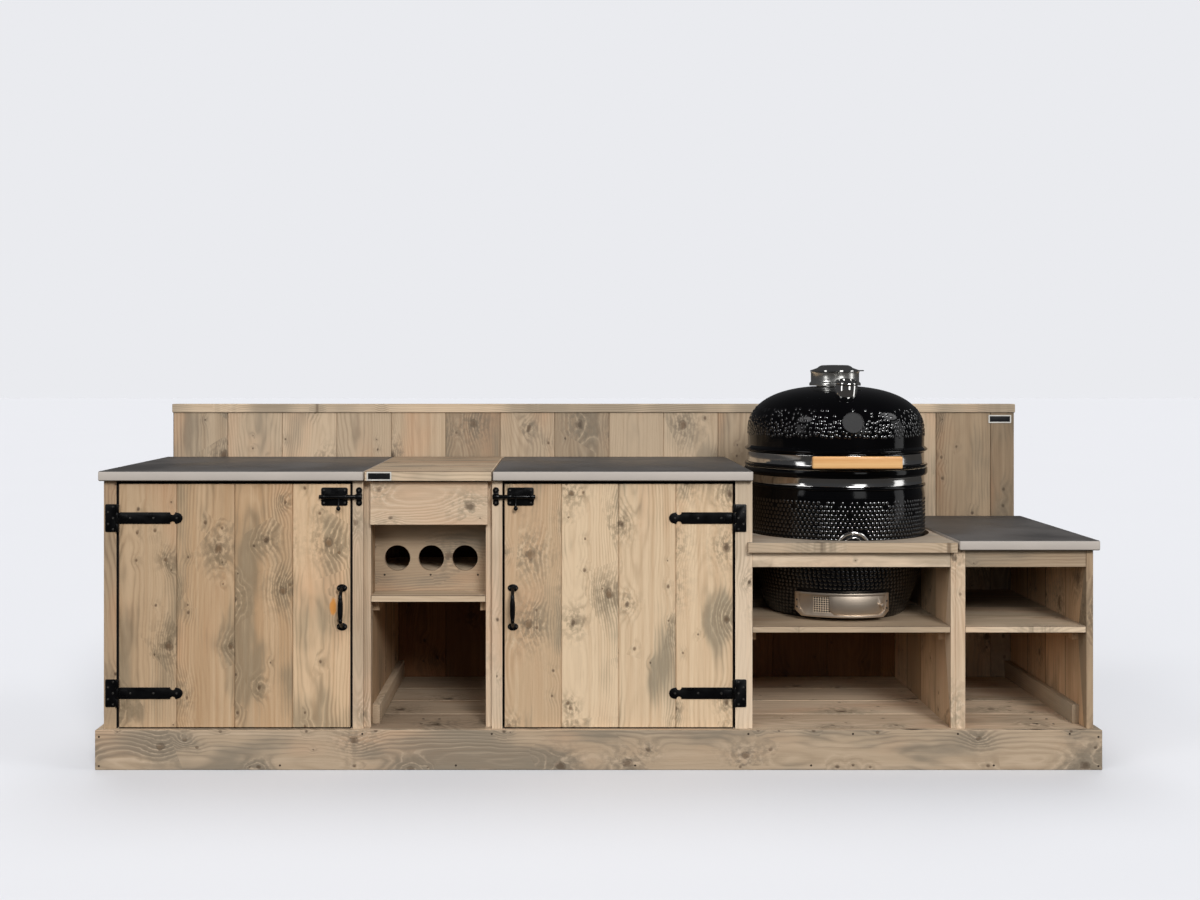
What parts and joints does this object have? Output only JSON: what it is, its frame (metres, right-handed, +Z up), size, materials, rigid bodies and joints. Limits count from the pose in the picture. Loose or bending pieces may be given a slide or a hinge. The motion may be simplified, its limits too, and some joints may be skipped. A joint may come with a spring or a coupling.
{
  "type": "outdoor kitchen unit",
  "caption": "Scaffold-wood outdoor kitchen with ledged-door cabinets, bottle rack bay, open storage bays, splash back and a built-in kamado grill",
  "frame": {"origin": "on the ground at the middle of the carcass, on the underside of the middle joist", "axes": "+X along the front to the right as the user faces it, +Y from the front to the back, +Z up"},
  "size_m": [3.0346, 0.7828, 1.2223],
  "materials": {
    "wood": "washed, weathered scaffold wood with knots",
    "dark_slab": "honed dark composite stone, paler on its edges",
    "black_iron": "satin black coating",
    "glazed_ceramic": "gloss black glaze with a dimpled texture",
    "steel": "polished stainless steel",
    "bamboo": "oiled bamboo",
    "gasket_felt": "pressed felt",
    "firebrick": "matt fireclay",
    "cast_iron": "seasoned cast iron"
  },
  "bodies": {
    "root": {"plinth": "wood", "floor_frame": "wood", "floor_boards": "wood", "left_side": "wood", "right_side": "wood", "bottle_bay_left_side": "wood", "bottle_bay_right_side": "wood", "grill_bay_left_side": "wood", "grill_bay_right_side": "wood", "back_boards": "wood", "back_rail": "wood", "splash_cap": "wood", "bottle_bay_top": "wood", "grill_top": "wood", "bottle_bay_apron": "wood", "grill_bay_apron": "wood", "end_bay_apron": "wood", "bottle_shelf": "wood", "grill_shelf": "wood", "end_shelf": "wood", "bottle_rack_panel": "wood", "bottle_support_board": "wood", "worktop_left": "dark_slab", "worktop_right": "dark_slab", "worktop_low": "dark_slab", "hinge_plate_left_lower": "black_iron", "hinge_plate_left_upper": "black_iron", "hinge_plate_right_lower": "black_iron", "hinge_plate_right_upper": "black_iron", "bolt_keeper_left": "black_iron", "bolt_keeper_right": "black_iron", "kamado_base": "glazed_ceramic", "lower_band": "steel", "hinge_bracket": "steel", "hinge_spring": "steel", "draft_frame": "steel", "cooking_grid": "steel", "firebox": "firebrick", "charcoal_grate": "cast_iron"},
    "door_left": {"door_left": "wood", "hinge_strap_left_lower": "black_iron", "hinge_strap_left_upper": "black_iron", "bolt_casing_left": "black_iron", "handle_left": "black_iron"},
    "bolt_left": {"bolt_rod_left": "black_iron"},
    "door_right": {"door_right": "wood", "hinge_strap_right_lower": "black_iron", "hinge_strap_right_upper": "black_iron", "bolt_casing_right": "black_iron", "handle_right": "black_iron"},
    "bolt_right": {"bolt_rod_right": "black_iron"},
    "kamado_lid": {"kamado_lid": "glazed_ceramic", "upper_band": "steel", "lid_gasket": "gasket_felt", "chimney": "steel", "thermometer": "steel", "hinge_arm": "steel", "handle_grip": "bamboo"},
    "vent_cap": {"vent_cap": "steel"},
    "draft_slide": {"draft_slide": "steel"}
  },
  "joints": [
    {"name": "door_left_hinge", "type": "hinge", "parent": "root", "child": "door_left", "pos_m": [-1.4555, -0.3653, 0.124], "axis": [0, 0, -1], "range_deg": [0, 120]},
    {"name": "bolt_left_slide", "type": "slide", "parent": "door_left", "child": "bolt_left", "axis": [1, 0, 0], "range_m": [-0.03, 0.01]},
    {"name": "door_right_hinge", "type": "hinge", "parent": "root", "child": "door_right", "pos_m": [0.4105, -0.3653, 0.124], "axis": [0, 0, 1], "range_deg": [0, 120]},
    {"name": "bolt_right_slide", "type": "slide", "parent": "door_right", "child": "bolt_right", "axis": [-1, 0, 0], "range_m": [-0.03, 0.01]},
    {"name": "kamado_lid_hinge", "type": "hinge", "parent": "root", "child": "kamado_lid", "pos_m": [0.7805, 0.281, 0.9493], "axis": [-1, 0, 0], "range_deg": [0, 44]},
    {"name": "vent_cap_turn", "type": "hinge", "parent": "kamado_lid", "child": "vent_cap", "pos_m": [0.7805, -0.034, 1.2223], "axis": [0, 0, 1], "range_deg": [0, 72]},
    {"name": "draft_slide_turn", "type": "hinge", "parent": "root", "child": "draft_slide", "pos_m": [0.7805, -0.034, 0.4293], "axis": [0, 0, 1], "range_deg": [-22, 0]}
  ]
}
